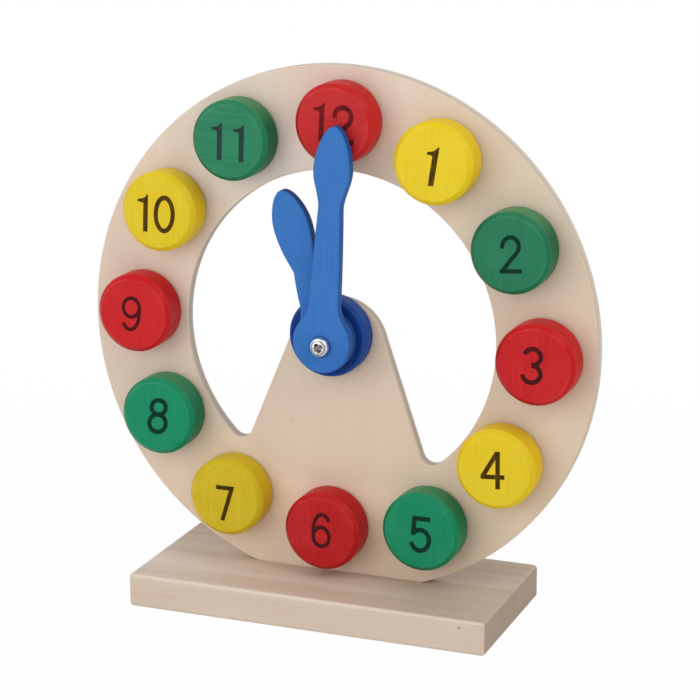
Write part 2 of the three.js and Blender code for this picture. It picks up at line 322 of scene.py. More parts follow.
def finished(start, base, roughness, height, relief, specular=0.2, metallic=0):
    """Closes a material: its colour, its roughness, and a relief so many metres deep."""
    bump = start.node("Bump", {}, {"Strength": 1, "Distance": relief, "Height": height})
    shader = start.node("BsdfPrincipled", {}, {
        "Base Color": base, "Roughness": roughness, "Normal": bump,
        "Specular IOR Level": specular, "Metallic": metallic,
    })
    start.node("OutputMaterial", {}, {"Surface": shader})


board_material, start, where = new_material("base_board_wood")
along, deep, high = parts_of(start, where)
facing = facing_of(start)
wavy = wavering(start, where, (9, 26, 26), 11 * mm)
broad = noise(start, wavy, (4, 105, 105))
streaks = noise(start, wavy, (14, 620, 620), 4, 0.6)
pores = noise(start, where, (130, 4200, 4200), 2)
wood = start.node("ValToRGB", {"stops": [
    (0.30, colour(198, 170, 145)), (0.43, colour(210, 188, 168)),
    (0.56, colour(219, 201, 184)), (0.75, colour(226, 211, 197)),
]}, {0: broad * 0.7 + streaks * 0.3})
long_side = span(start, abs(facing[1]), 0.6, 0.95)
short_streaks = span(start, noise(start, where, (60, 1, 900), 2, seed=3.1), 0.66, 0.74)
between_pores = span(start, pores, 0.35, 0.62)
end_grain = span(start, abs(facing[0]), 0.6, 0.95)
knot = speck(start, where, (63.5 * mm, -base_depth / 2, 10.8 * mm), 0.9 * mm)
top_face = span(start, facing[2], 0.7, 0.95)
# Painted shade on the top, behind the plate and towards the right end
painted_shade_back_and_right = span(start, deep, 5 * mm, 20 * mm)
painted_shade_back_and_right = painted_shade_back_and_right.math("MAXIMUM", painted_shade_back_and_right, span(start, along, 15 * mm, 45 * mm))
# Painted light on the front of the top towards the left end
painted_light_left_front = span(start, along, -25 * mm, -65 * mm) * span(start, deep, 2 * mm, -14 * mm)
wood = layered(start, wood, [
    # Front and back faces: a plainer grain, and a darker tone that is partly painted shade
    (long_side * 0.7, (202, 184, 167)),
    (long_side * short_streaks * 0.35, (176, 150, 124)),
    (0.06 - between_pores * 0.06, (150, 118, 92)),
    (end_grain * 0.75, (158, 134, 112)),
    (knot * 0.6, (120, 96, 74)),
    (painted_shade_back_and_right * top_face * 0.25, (140, 118, 102)),
    (painted_light_left_front * top_face * 0.4, (234, 222, 214)),
])
# A painted highlight along the front top edge and the front edge of the right end
for run, edge in ((high, base_height), (along, base_length / 2 + base_shift)):
    from_edge = from_axis(start, deep + base_depth / 2, run - edge)
    painted_edge_highlight = span(start, from_edge, 1.3 * mm, 0.6 * mm)
    wood = layered(start, wood, [(painted_edge_highlight * 0.45, (236, 222, 206))])
finished(start, wood, 0.5 + streaks * 0.12, streaks * 0.6 + pores * 0.4, 0.06 * mm)


def dressed(name, mesh, material, node, body, place=Matrix.Identity(4)):
    """A finished piece that rides on its body and stands for a node of the model, if it has one."""
    piece = new_object(name, mesh)
    piece.matrix_world = place
    mesh.materials.clear()
    mesh.materials.append(material)
    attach(piece, body)
    if node:
        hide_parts(node)


corner_x = base_length / 2 - base_corner_radius
corner_y = base_depth / 2 - base_corner_radius
board_outline = []
for quarter, (x, y) in enumerate(((1, 1), (-1, 1), (-1, -1), (1, -1))):
    from_angle = quarter * pi / 2
    corner = (x * corner_x + base_shift, y * corner_y, base_corner_radius)
    board_outline += arc(*corner, from_angle, from_angle + pi / 2, base_corner_segments)
board_mesh = sawn_board("base_board_slab", [(board_outline, base_edge_radius)], base_height,
                        base_edge_steps, Matrix.Identity(4))
groove_place = Matrix.Translation((0, plate_front - seat_gap, dial_height))
groove_place @= Matrix.Rotation(-pi / 2, 4, "X")
groove_circle = arc(0, 0, dial_radius + seat_gap, 0, 2 * pi, groove_segments)[1:]
groove_width = plate_thickness + 2 * seat_gap
groove = sawn_board("groove", [(groove_circle, 0)], groove_width, 1, groove_place)
drills = []
for side in (-1, 1):
    drills.append(turned("screw_drill", [
        (0, -overcut), (countersink_radius, -overcut), (countersink_radius, seat_gap + bore_gap),
        (pilot_radius, countersink_depth), (pilot_radius, pilot_depth), (0, pilot_depth),
    ], bore_segments, Matrix.Translation((side * screw_spacing / 2, groove_setback, 0))))
board_mesh = cut(board_mesh, [groove] + drills)
dressed("base_board_slab", board_mesh, board_material, "base_board", "stand")

# Base screws. Two countersunk steel screws, driven up through the base board into the rim of the
# dial plate. Only their flat heads with a cross recess can be seen, from underneath.
base_screw_length = 18 * mm
base_screw_tip = 3.5 * mm
base_screw_head = 3 * mm
base_screw_head_depth = 1.7 * mm
base_screw_rim = 0.2 * mm
base_screw_ease = 0.05 * mm
base_screw_shank = 1.5 * mm


def cross_recess(half_length, half_width, floor_share, depth, top, place):
    """The tapered tool for a cross recess that opens at a height and goes down from there. It
    starts a little above the opening, and its inner corners are rounded off."""
    overshoot = 0.12
    inner_corner = 1.35
    form = bmesh.new()
    rows = []
    for share, height in ((1 + overshoot, depth * overshoot), (floor_share, -depth)):
        long, wide = half_length * share, half_width * (share + 1) / 2
        corner = wide * inner_corner
        row = []
        for quarter in range(4):
            spin = Matrix.Rotation(quarter * pi / 2, 2)
            for point in ((long, -wide), (long, wide), (corner, corner)):
                x, y = spin @ Vector(point)
                row.append(form.verts.new((x, y, top + height)))
        rows.append(row)
    for index in range(len(rows[0])):
        after = (index + 1) % len(rows[0])
        form.faces.new((rows[0][index], rows[0][after], rows[1][after], rows[1][index]))
    form.faces.new(rows[0])
    form.faces.new(rows[1])
    return mesh_from("cross_recess", form, place)


def ring(start, radius, middle, edge, core):
    """1 on a ring round an axis, as far as its core reaches, and 0 past its edge."""
    return span(start, abs(radius - middle), edge, core)


# The pivot screw's head has the same plating, with a painted dark reflection round it and painted
# shade in its recess
pivot_head_front = 22 * mm
steel, start, where = new_material("plated_steel")
aside, ahead, above = parts_of(start, where)
radius = from_axis(start, aside, above)
scratches = noise(start, where, (2600, 2600, 2600), 4, 0.6)
dull = span(start, noise(start, where, (500, 500, 500), 2), 0.35, 0.7)
painted_dark_reflection = ring(start, radius, 2.75 * mm, 0.45 * mm, 0.15 * mm)
# Painted shade in the cross recess of the head
sunk = span(start, ahead, 0.08 * mm - pivot_head_front, 0.3 * mm - pivot_head_front)
sunk = span(start, radius, 2.3 * mm, 2 * mm) * sunk
shine = layered(start, colour(226, 227, 230), [
    (dull, (196, 198, 202)),
    (painted_dark_reflection * 0.75, (100, 94, 90)),
    (sunk * 0.85, (100, 90, 86)),
])
finished(start, shine, 0.16 + scratches * 0.16, scratches, 0.008 * mm, specular=0.5, metallic=1)

for side, name in ((-1, "left"), (1, "right")):
    stand_up = Matrix.Translation((side * screw_spacing / 2, groove_setback, 0))
    screw_mesh = turned("base_screw_" + name + "_steel", [
        (0, seat_gap), (base_screw_head - base_screw_rim, seat_gap, base_screw_ease),
        (base_screw_head, seat_gap + base_screw_rim, base_screw_ease),
        (base_screw_shank, seat_gap + base_screw_head_depth),
        (base_screw_shank, seat_gap + base_screw_length - base_screw_tip),
        (0, seat_gap + base_screw_length),
    ], bore_segments, stand_up)
    turned_over = stand_up @ Matrix.Rotation(pi, 4, "X")
    recess = cross_recess(half_length=1.9 * mm, half_width=0.45 * mm, floor_share=0.4,
                          depth=1.5 * mm, top=-seat_gap, place=turned_over)
    screw_mesh = cut(screw_mesh, [recess])
    dressed("base_screw_" + name + "_steel", screw_mesh, steel,
            "base_screw_" + name, "stand")

# Dial plate. A round disc of pale plywood with one large opening, sawn round the tongue that
# carries the hands. Its rim stands in the groove of the base board, and its sawn edges show the
# plies. The whole dial sits turned by two degrees.
dial_turn = radians(2)
plate_edge_radius = 0.5 * mm
plate_edge_steps = 5
rim_segments = 360
ring_width = 41.5 * mm
opening_segments = 320
fillet_radius = 5 * mm
fillet_segments = 96
tongue_radius = 20.05 * mm
tongue_segments = 160
tongue_drop = 5.8 * mm
tongue_flare = radians(20.7)
peg_radius = 4 * mm
block_radius = 16.2 * mm
block_circle = 85 * mm
lowest_block_circle = 81.6 * mm
block_circle_lift = 1 * mm
# How far a block was set off its even place, to the right and up, in millimetres
stray_blocks = {
    1: (-1.5, 0.1), 3: (0.5, -0.2), 4: (-1.9, -1.9), 5: (-0.5, -1.5),
    8: (0.1, -0.6), 9: (0.2, -0.9), 10: (-0.7, 0), 11: (-1.1, 0.9),
}
dial_place = Matrix.Translation((0, plate_front, dial_height)) @ Matrix.Rotation(dial_turn, 4, "Y")


def block_centre(number):
    """Where a block sits on the dial, from its middle."""
    angle = number * pi / 6
    radius = lowest_block_circle if number == 6 else block_circle
    even = Vector((radius * sin(angle), radius * cos(angle) + block_circle_lift))
    return even + Vector(stray_blocks.get(number, (0, 0))) * mm


opening_radius = dial_radius - ring_width
orbit = opening_radius - fillet_radius
offset = tongue_radius + fillet_radius - tongue_drop * sin(tongue_flare)
along = sqrt(orbit ** 2 - offset ** 2)
fillet_x = offset * cos(tongue_flare) + along * sin(tongue_flare)
fillet_y = offset * sin(tongue_flare) - along * cos(tongue_flare)
fillet_angle = atan2(fillet_y, fillet_x)
opening = arc(0, -tongue_drop, tongue_radius, pi - tongue_flare, tongue_flare, tongue_segments)
opening += arc(fillet_x, fillet_y, fillet_radius, tongue_flare - pi, fillet_angle,
               fillet_segments)
opening += arc(0, 0, opening_radius, fillet_angle, pi - fillet_angle, opening_segments)[1:-1]
opening += arc(-fillet_x, fillet_y, fillet_radius, pi - fillet_angle, 2 * pi - tongue_flare,
               fillet_segments)
plate_outline = arc(0, 0, dial_radius, 0, 2 * pi, rim_segments)[1:]
plate_loops = [(plate_outline, plate_edge_radius), (opening[::-1], plate_edge_radius)]
for number in range(1, 13):
    centre = block_centre(number)
    hole = arc(centre.x, centre.y, peg_radius + bore_gap, 2 * pi, 0, bore_segments)[1:]
    plate_loops.append((hole, 0))
plate_mesh = sawn_board("dial_plate_plywood", plate_loops, plate_thickness, plate_edge_steps,
                        Matrix.Translation((0, plate_thickness, 0)) @ upright)

plywood, start, where = new_material("dial_plate_plywood")
across, through, up = parts_of(start, where)
facing = facing_of(start)
off_middle = from_axis(start, across, up)
wavy = wavering(start, where, (20, 20, 8), 6 * mm)
broad = noise(start, wavy, (60, 60, 4))
streaks = noise(start, wavy, (700, 700, 14), 4, 0.6)
pores = noise(start, where, (3800, 3800, 110), 2)
pale = start.node("ValToRGB", {"stops": [
    (0.25, colour(213, 192, 173)), (0.5, colour(218, 200, 184)), (0.75, colour(223, 207, 193)),
]}, {0: broad * 0.7 + streaks * 0.3})
low_down = span(start, up, 50 * mm, -100 * mm)
# Painted light on the lower left part of the plate, where the blocks' shade falls
painted_light_low_left = span(start, up, -30 * mm, -80 * mm) * span(start, across, 50 * mm, 10 * mm)
painted_light_low_left = painted_light_low_left * span(start, off_middle, 62 * mm, 70 * mm)
painted_light_low_left = painted_light_low_left * (1 - span(start, off_middle, 82 * mm, 92 * mm) * 0.75)
right_half = span(start, across, 10 * mm, 60 * mm)
# Painted light on the ring at the top left, inside the blocks
painted_light_top_left = span(start, up, 48 * mm, 66 * mm) * span(start, across, 8 * mm, -10 * mm)
painted_light_top_left = painted_light_top_left * span(start, off_middle, 92 * mm, 76 * mm)
tongue_wood = span(start, off_middle, 66 * mm, 60 * mm)
between_pores = span(start, pores, 0.35, 0.6)
knot = speck(start, where, (-19.2 * mm, 0, -39.6 * mm), 1.1 * mm)
pale = layered(start, pale, [
    (low_down * 0.4, (210, 184, 158)),
    (painted_light_low_left * 0.85, (240, 214, 183)),
    (right_half * 0.3, (208, 188, 154)),
    (painted_light_top_left * 0.7, (246, 232, 219)),
    (tongue_wood * 0.3, (208, 184, 158)),
    (0.03 - between_pores * 0.03, (160, 128, 100)),
    (knot * 0.2, (150, 120, 96)),
])
ply_count = 3
plies = through * (ply_count / plate_thickness)
glue_line = span(start, abs(plies.math("FRACT", plies) - 0.5), 0.38, 0.5)
middle_ply = span(start, abs(through - plate_thickness / 2), 0.9 * mm, 0.7 * mm)
rough_edge = span(start, noise(start, where, (1500, 400, 1500), 4, 0.6), 0.3, 0.7)
outer_rim = span(start, off_middle, dial_radius - 4 * mm, dial_radius - 2 * mm)
# Painted shade along the front arris of the outer rim
shaded_front_arris = span(start, through, 1.5 * mm, 0.7 * mm)
edge_wood = layered(start, colour(202, 189, 175), [
    (middle_ply, (186, 172, 157)),
    (glue_line * 0.3, (150, 136, 122)),
    (rough_edge * 0.3, (196, 180, 164)),
    (outer_rim * 0.6, (234, 221, 204)),
    (outer_rim * shaded_front_arris * 0.6, (182, 164, 144)),
])
sawn = span(start, abs(facing[1]), 0.75, 0.35)
plate_colour = blended(start, sawn, pale, edge_wood)
finished(start, plate_colour, 0.48 + streaks * 0.1, streaks * 0.5 + pores * 0.5, 0.03 * mm)
dressed("dial_plate_plywood", plate_mesh, plywood, "clock_plate", "stand", dial_place)

# Pegs. Plain dowels glued in the plate, flush with its back and with a chamfered tip that reaches
# into the block. Their ends show as twelve small discs on the back of the plate.
peg_reach = 8 * mm
peg_chamfer = 0.8 * mm
peg_ease = 0.15 * mm
dowel, start, where = new_material("dowel_wood")
rings = noise(start, where, (1500, 60, 900), 4, 0.6)
pores = noise(start, where, (5200, 300, 5200), 2)
plain = layered(start, colour(205, 178, 146), [(span(start, rings, 0.3, 0.7), (224, 203, 174))])
finished(start, plain, 0.62 + pores * 0.1, rings * 0.5 + pores * 0.5, 0.05 * mm)
for number in range(1, 13):
    centre = block_centre(number)
    peg_mesh = turned(f"peg_{number}_dowel", [
        (0, -plate_thickness), (peg_radius, -plate_thickness, peg_ease),
        (peg_radius, peg_reach - peg_chamfer), (peg_radius - peg_chamfer, peg_reach),
        (0, peg_reach),
    ], bore_segments)
    peg_place = dial_place @ Matrix.Translation((centre.x, 0, centre.y))
    dressed(f"peg_{number}_dowel", peg_mesh, dowel, f"peg_{number}", f"peg_{number}",
            peg_place)

# Number blocks. Twelve turned wooden discs, painted red, yellow or green over a grain that still
# shows, with a chamfer round the face and a blind socket in the back for the peg. Each numeral is
# printed on the face in black.
block_front = 12.9 * mm
block_chamfer = 1.9 * mm
block_back_chamfer = 1 * mm
socket_end = 8.6 * mm
block_segments = 128
# Each paint: its body, where it is worn thin, where it lies deep and its painted shade, its tone on
# the side of a block as painted light and shade, and on top of that side as painted light, how much
# painted shade its lower left chamfer takes and how far its edges are worn and highlighted, and the
# ink on it with the colour that comes through
paints = (
    {"name": "red_paint", "body": (200, 30, 34), "worn": (232, 74, 72), "deep": (120, 10, 16),
     "side": (218, 12, 14), "pale": (230, 120, 110), "edges": 0.5,
     "ink": (17, 20, 23), "in_ink": (200, 30, 34)},
    {"name": "yellow_paint", "body": (230, 200, 32), "worn": (244, 222, 92),
     "deep": (186, 146, 12), "side": (248, 206, 0), "pale": (255, 236, 60), "edges": 0.2,
     "ink": (26, 11, 2), "in_ink": (196, 142, 52)},
    {"name": "green_paint", "body": (14, 132, 92), "worn": (70, 162, 122), "deep": (8, 80, 50),
     "side": (0, 112, 62), "pale": (150, 222, 150), "edges": 0.5,
     "ink": (12, 24, 28), "in_ink": (14, 132, 92)},
)
# How bright the paint is on each block, with painted shade on those that get less light
paint_strength_and_shade = {
    1: 0.97, 2: 0.83, 3: 0.93, 4: 0.95, 5: 0.98, 6: 0.86,
    7: 0.84, 8: 1.0, 9: 0.95, 10: 0.93, 11: 0.89, 12: 0.92,
}
# The blocks with painted shade on the right of their side
shaded_right_side = {8: 0.3, 9: 0.35}
# The blocks whose side takes less of its painted light and shade, and those with painted light on
# the top of the side
side_light_share = {5: 0.4, 8: 0.5}
top_light_share = {1: 0.15, 2: 0.2, 5: 0.1, 7: 0.15, 8: 0.12, 10: 0.35, 11: 0.17}
# The blocks whose paint is so thin that the wood shows through it, and those with level grain
bare_wood = {2: 0.018, 11: 0.02, 12: 0.012}
level_grain = (11, 12)
# The block whose edges are worn and highlighted less than those of its colour
less_wear_and_highlight = {6: 0.25}


def block_paint(number):
    """Satin paint over turned wood, with worn edges that carry a painted highlight, painted light
    and shade on the side and the chamfer, and the lathe's rings on the face.
    """
    paint = paints[number % 3]
    deep, worn = paint["deep"], paint["worn"]
    body, side_light_tone = [[part * paint_strength_and_shade[number] for part in paint[tone]]
                       for tone in ("body", "side")]
    material, start, where = new_material(f"block_{number}_{paint['name']}")
    x, y, z = parts_of(start, where)
    facing = facing_of(start)
    radius = from_axis(start, x, z)
    grain_scales = (45, 1500, 1500) if number in level_grain else (1500, 1500, 45)
    grain = noise(start, where, grain_scales, 4, 0.6, number * 3.7)
    clouds = noise(start, where, (90, 90, 90), 2, seed=number * 1.3)
    along_radius = start.node("CombineXYZ", {}, {"X": radius})
    lathe = noise(start, along_radius, (1400, 1, 1), 2, seed=number * 2.1)
    tone = blended(start, span(start, grain, 0.3, 0.7), colour(*deep), colour(*worn))
    tone_share = 0.17 if number in level_grain else 0.11
    coat = blended(start, tone_share, colour(*body), tone)
    side = span(start, abs(facing[1]), 0.9, 0.3)
    lit_top_side = side * span(start, facing[2], 0.45, 0.9)
    right_side = side * span(start, facing[0], 0.3, 0.9)
    bevel = span(start, abs(facing[1]), 0.97, 0.85)
    lower_left = span(start, facing[0] + facing[2] * 0.7, -0.1, -0.5)
    face_edge = block_radius - block_chamfer + 0.05 * mm
    face_ring = ring(start, radius, face_edge, 0.26 * mm, 0.08 * mm)
    rim_ring = ring(start, radius, block_radius - 0.1 * mm, 0.25 * mm, 0.08 * mm)
    ahead = span(start, y, 2.7 * mm - block_front, 1.7 * mm - block_front)
    wear_and_highlight = (face_ring + rim_ring * 0.6) * ahead * span(start, clouds, 0.3, 0.6)
    # Painted light and shade on the side: its own lit tone, painted light on its top, painted shade
    # on its right
    coat = layered(start, coat, [
        (span(start, clouds, 0.35, 0.7) * 0.1, worn),
        (bare_wood.get(number, 0), (225, 196, 178)),
        (side * side_light_share.get(number, 0.8), side_light_tone),
        (lit_top_side * top_light_share.get(number, 0), paint["pale"]),
        (right_side * shaded_right_side.get(number, 0), deep),
        # Painted shade on the lower left of the chamfer; the worn edges below also carry a painted
        # highlight
        (bevel * lower_left * paint["edges"], deep),
        (wear_and_highlight * less_wear_and_highlight.get(number, paint["edges"]), worn),
    ])
    height = grain * 0.6 + lathe * 0.4
    finished(start, coat, 0.27 + grain * 0.1, height, 0.05 * mm, specular=0.08)
    return material


# One stroke of a numeral is a path in millimetres, from the lower left corner of the numeral
numeral_height = 14.8


def oval(centre_x, centre_y, radius_x, radius_y, start_degrees, end_degrees, steps=28):
    """Points along a stretched arc."""
    angles = [radians(start_degrees + (end_degrees - start_degrees) * step / steps)
              for step in range(steps + 1)]
    return [Vector((centre_x + radius_x * cos(a), centre_y + radius_y * sin(a))) for a in angles]


def bezier(controls, steps):
    """Points along a curve of any order."""
    path = []
    for step in range(steps + 1):
        row = [Vector(control) for control in controls]
        while len(row) > 1:
            row = [first.lerp(second, step / steps) for first, second in zip(row, row[1:])]
        path.append(row[0])
    return path


digit_widths = {0: 9.2, 1: 4.6, 2: 9.2, 3: 9.1, 4: 9.6, 5: 9.2, 6: 8.9, 7: 8.0, 8: 9.1, 9: 8.9}


def digit_strokes(digit):
    """The strokes of a digit, each an open path, or a closed one where its ends meet. The 1 is
    an outline."""
    if digit == 0:
        return [oval(4.6, 7.4, 3.75, 6.55, 0, 360, 56)]
    if digit == 2:
        bowl = oval(4.3, 10.35, 3.4, 3.6, 180, 0)
        diagonal = bezier([(7.7, 10.35), (7.7, 8.2), (6.1, 7.1), (4.7, 5.5)], 10)
        hook = [Vector((0.9, 9.6))] + bowl + diagonal[1:] + [Vector((1.25, 1.0))]
        return [hook, [Vector((0, 0.85)), Vector((9.2, 0.85))]]
    if digit == 3:
        upper = oval(4.75, 10.85, 3.3, 3.1, 165, -72) + [Vector((4.4, 7.72))]
        lower = [Vector((4.4, 7.5))] + oval(4.6, 4.2, 3.65, 3.35, 72, -172)
        return [upper, lower]
    if digit == 4:
        stem = [Vector((6.85, numeral_height)), Vector((6.85, 0))]
        diagonal = [Vector((6.6, 14.25)), Vector((0.75, 4.85))]
        crossbar = [Vector((0.05, 4.75)), Vector((9.6, 4.75))]
        return [diagonal, crossbar, stem]
    if digit == 5:
        flag = [Vector((8.5, 13.95)), Vector((1.9, 13.95)), Vector((1.45, 7.1))]
        bowl = [Vector((1.1, 7.35))] + oval(4.55, 5.1, 3.8, 4.25, 126, -166)
        return [flag, bowl]
    if digit in (6, 9):
        hook = oval(4.85, 7.4, 4.0, 6.55, 36, 180) + [Vector((0.85, 4.7))]
        strokes = [hook, oval(4.55, 4.75, 3.7, 3.9, 0, 360, 48)]
        if digit == 6:
            return strokes
        width = digit_widths[9]
        return [[Vector((width - p.x, numeral_height - p.y)) for p in path] for path in strokes]
    if digit == 7:
        return [[Vector((0, 13.95)), Vector((7.0, 13.95)), Vector((2.85, 0))]]
    return [oval(4.55, 11.0, 3.2, 2.95, 0, 360, 44), oval(4.55, 4.45, 3.7, 3.6, 0, 360, 44)]


def stroke_loops(path, stroke):
    """The outline or the two outlines of a stroke of even width."""
    half = stroke / 2
    meeting = 0.01
    if (path[0] - path[-1]).length < meeting:
        outline = path[:-1]
        return [inset(outline, -half), inset(outline, half)[::-1]]
    sharpest = 0.55
    left, right = [], []
    for index, point in enumerate(path):
        before = (point - path[index - 1]).normalized() if index else None
        after = (path[index + 1] - point).normalized() if index + 1 < len(path) else None
        before, after = before or after, after or before
        side = Vector((-before.y - after.y, before.x + after.x)).normalized()
        side *= half / max(sharpest, side.dot(Vector((-before.y, before.x))))
        left.append(point + side)
        right.append(point - side)
    return [right + left[::-1]]


def flagged_one(stem):
    """The outline of a 1 whose stem is so wide."""
    right = 4.7
    left = right - stem
    points = [(left, 0), (right, 0), (right, numeral_height), (4.2, numeral_height),
              (3.6, 13.95), (2.7, 13.35), (1.5, 13.0), (0.1, 12.8), (0.1, 11.85),
              (left * 0.6, 11.6), (left, 11.3)]
    return [Vector(point) for point in points]


# For each block: the digits, where their middle sits on the face in millimetres, how far the
# uprights lean and how far the level strokes rise, in degrees, how far apart two digits start,
# the width of a stroke, and the shares of the full width and height
printing = {
    1: ((1,), -0.45, -0.7, 9.0, 0.0, 0, 2.12, 1, 1.025),
    2: ((2,), 0.6, -0.05, 0.0, 4.4, 0, 1.72, 0.97, 1.01),
    3: ((3,), -0.9, 0.1, 2.5, 0.0, 0, 1.85, 0.99, 1.02),
    4: ((4,), -0.7, 0.1, -0.8, 4.0, 0, 1.82, 1.02, 1.035),
    5: ((5,), 0.45, -0.5, 2.0, 0.5, 0, 1.95, 0.99, 1.02),
    6: ((6,), 0.15, 0.95, 1.0, 0.0, 0, 1.68, 0.93, 1.03),
    7: ((7,), 0.0, -2.15, 1.0, 0.0, 0, 1.82, 1, 1.01),
    8: ((8,), 0.5, 0.35, 6.0, 0.0, 0, 1.9, 1, 1.045),
    9: ((9,), -0.65, 0.0, 3.0, 0.0, 0, 1.58, 0.97, 1.01),
    10: ((1, 0), -0.5, -0.5, 2.5, 0.0, 7.4, 1.88, 1, 1.035),
    11: ((1, 1), -0.5, -0.35, 2.0, -2.0, 9.4, 2.0, 1, 1.01),
    12: ((1, 2), 0.5, 0.75, 2.5, -3.0, 8.1, 1.9, 1, 1.01),
}
ink_thickness = 0.04 * mm


def numeral_mesh(number):
    """A numeral as a film of ink on the face of its block. Where two strokes cross, each film is
    a little thinner than the one before, so that no two faces lie in one plane."""
    digits, middle_x, middle_y, lean, rise, pitch, stroke, wide, tall = printing[number]
    one_stem = stroke * 1.08
    thinner_film = 0.05
    width = pitch + digit_widths[digits[-1]]
    solids = []
    for index, digit in enumerate(digits):
        if digit == 1:
            outlines = [[flagged_one(one_stem)]]
        else:
            outlines = [stroke_loops(path, stroke) for path in digit_strokes(digit)]
        for loops in outlines:
            printed = []
            for loop in loops:
                points = []
                for point in loop:
                    x = (point.x + index * pitch - width / 2) * wide
                    y = (point.y - numeral_height / 2) * tall
                    points.append(Vector((
                        (x + y * tan(radians(lean)) + middle_x) * mm,
                        (y + x * tan(radians(rise)) + middle_y) * mm,
                    )))
                printed.append((points, 0))
            sunk = Matrix.Translation((0, ink_thickness / 2 - block_front, 0)) @ upright
            film = ink_thickness * (1 - thinner_film * len(solids))
            solids.append(sawn_board(f"numeral_{number}", printed, film, 1, sunk))
    if len(solids) == 1:
        return solids[0]
    return combined(solids[0], solids[1:], "UNION")


# The blocks whose ink lets less paint through, those where it is rubbed thin, and a greyer one
fresh_ink = {4: 0.04, 7: 0.04}
rubbed_ink = {12: 0.5}
grey_ink = {11: 0.17}


def numeral_ink(number):
    """Black printing ink, thin enough that the paint's colour and grain come through."""
    paint = paints[number % 3]
    material, start, where = new_material(f"numeral_{number}_ink")
    grain_scales = (60, 2200, 2200) if number in level_grain else (2200, 2200, 60)
    grain = noise(start, where, grain_scales, 4, 0.65, number * 3.7)
    patches = noise(start, where, (420, 420, 420), 3, 0.6, number)
    thin = span(start, grain * 0.6 + patches * 0.4, 0.42, 0.68)
    ink = layered(start, colour(*paint["ink"]), [
        (fresh_ink.get(number, 0.07), paint["in_ink"]),
        (thin * rubbed_ink.get(number, 0.09), paint["body"]),
        (grey_ink.get(number, 0), (92, 92, 104)),
    ])
    finished(start, ink, 0.55 + grain * 0.1, grain, 0.02 * mm, specular=0.05)
    return material


for number in range(1, 13):
    centre = block_centre(number)
    block_place = dial_place @ Matrix.Translation((centre.x, 0, centre.y))
    block_mesh = turned(f"block_{number}_wood", [
        (0, socket_end), (peg_radius + bore_gap, socket_end), (peg_radius + bore_gap, seat_gap),
        (block_radius - block_back_chamfer, seat_gap, 0.25 * mm),
        (block_radius, seat_gap + block_back_chamfer, 0.4 * mm),
        (block_radius, block_front - block_chamfer, 0.7 * mm),
        (block_radius - block_chamfer, block_front, 0.6 * mm), (0, block_front),
    ], block_segments)
    dressed(f"block_{number}_wood", block_mesh, block_paint(number), f"number_block_{number}",
            f"block_{number}", block_place)
    level = block_place @ Matrix.Rotation(-dial_turn, 4, "Y")
    dressed(f"numeral_{number}", numeral_mesh(number), numeral_ink(number), None,
            f"block_{number}", level)

# Hub disc. A turned boss with a rounded front edge, painted a darker blue than the hands and glued
# to the tongue of the plate. The pivot screw bites in it.
hub_radius = 16.4 * mm
hub_front = 8.9 * mm
hub_shift = -1.5 * mm
hub_round = 2 * mm
hub_round_segments = 48
hub_ease = 0.3 * mm
pivot_bore = 2.2 * mm
pivot_drop = 1 * mm
pivot_place = Matrix.Translation((0, plate_front, dial_height - pivot_drop))


def blue_paint(name, body, worn, deep, grain_scales, flat, edge):
    """Satin blue paint with a fine grain under it. Flat faces and sawn or turned edges each take
    their own colour by a share, which paints the hands' shadow on the hub's face and shade on
    the hands' sawn edges. The lower part round the bore is a little deeper, and painted shade
    rings the bore under the screw head."""
    material, start, where = new_material(name)
    x, _, z = parts_of(start, where)
    ahead = abs(facing_of(start)[1])
    radius = from_axis(start, x, z)
    grain = noise(start, where, grain_scales, 4, 0.6)
    clouds = noise(start, where, (80, 80, 80), 2)
    tone = blended(start, span(start, grain, 0.3, 0.7), colour(*deep), colour(*worn))
    round_end = span(start, radius, 14 * mm, 11 * mm) * span(start, z, 8 * mm, -2 * mm)
    shade_round_screw = ring(start, radius, 4.25 * mm, 0.4 * mm, 0.1 * mm)
    coat = layered(start, blended(start, 0.11, colour(*body), tone), [
        (span(start, clouds, 0.35, 0.7) * 0.12, worn),
        (span(start, ahead, 0.8, 0.98) * flat[0], flat[1]),
        (span(start, ahead, 0.7, 0.25) * edge[0], edge[1]),
        (round_end * 0.14, deep),
        (shade_round_screw * 0.45, deep),
    ])
    finished(start, coat, 0.36 + grain * 0.12, grain, 0.05 * mm, specular=0.05)
    return material


# The hub's flat face is painted darker, as the hands' shadow on it
hub_blue = blue_paint("hub_dark_blue", body=(30, 72, 148), worn=(60, 102, 176), deep=(8, 24, 76),
                      grain_scales=(1400, 1400, 60), flat=(0.75, (14, 45, 115)),
                      edge=(0.4, (30, 68, 140)))
hub_profile = [(0, seat_gap), (hub_radius, seat_gap, hub_ease)]
hub_profile += arc(hub_radius - hub_round, hub_front - hub_round, hub_round, 0, pi / 2,
                   hub_round_segments)
hub_profile += [(0, hub_front)]
hub_middle = Matrix.Translation((hub_shift, 0, pivot_drop)) @ upright
hub_mesh = turned("hub_boss", hub_profile, block_segments, hub_middle)
bore_end = hub_front + overcut
bore_drill = turned("bore_drill", [
    (0, -overcut), (pivot_bore, -overcut), (pivot_bore, bore_end), (0, bore_end),
], bore_segments)
hub_mesh = cut(hub_mesh, [bore_drill])
dressed("hub_boss", hub_mesh, hub_blue, "hub_disc", "stand", pivot_place)

# Hands. Sawn from thin board with rounded edges and painted blue: a round end on the pivot, a
# shaft that narrows to a neck, and a leaf-shaped tip. Each turns freely on the pivot screw.
hand_thickness = 4.7 * mm
hand_edge_radius = 1 * mm
hand_edge_steps = 6
hand_end_radius = 12.1 * mm
hand_end_segments = 96
hand_bore_drop = 1.1 * mm
foot_angle = radians(35)
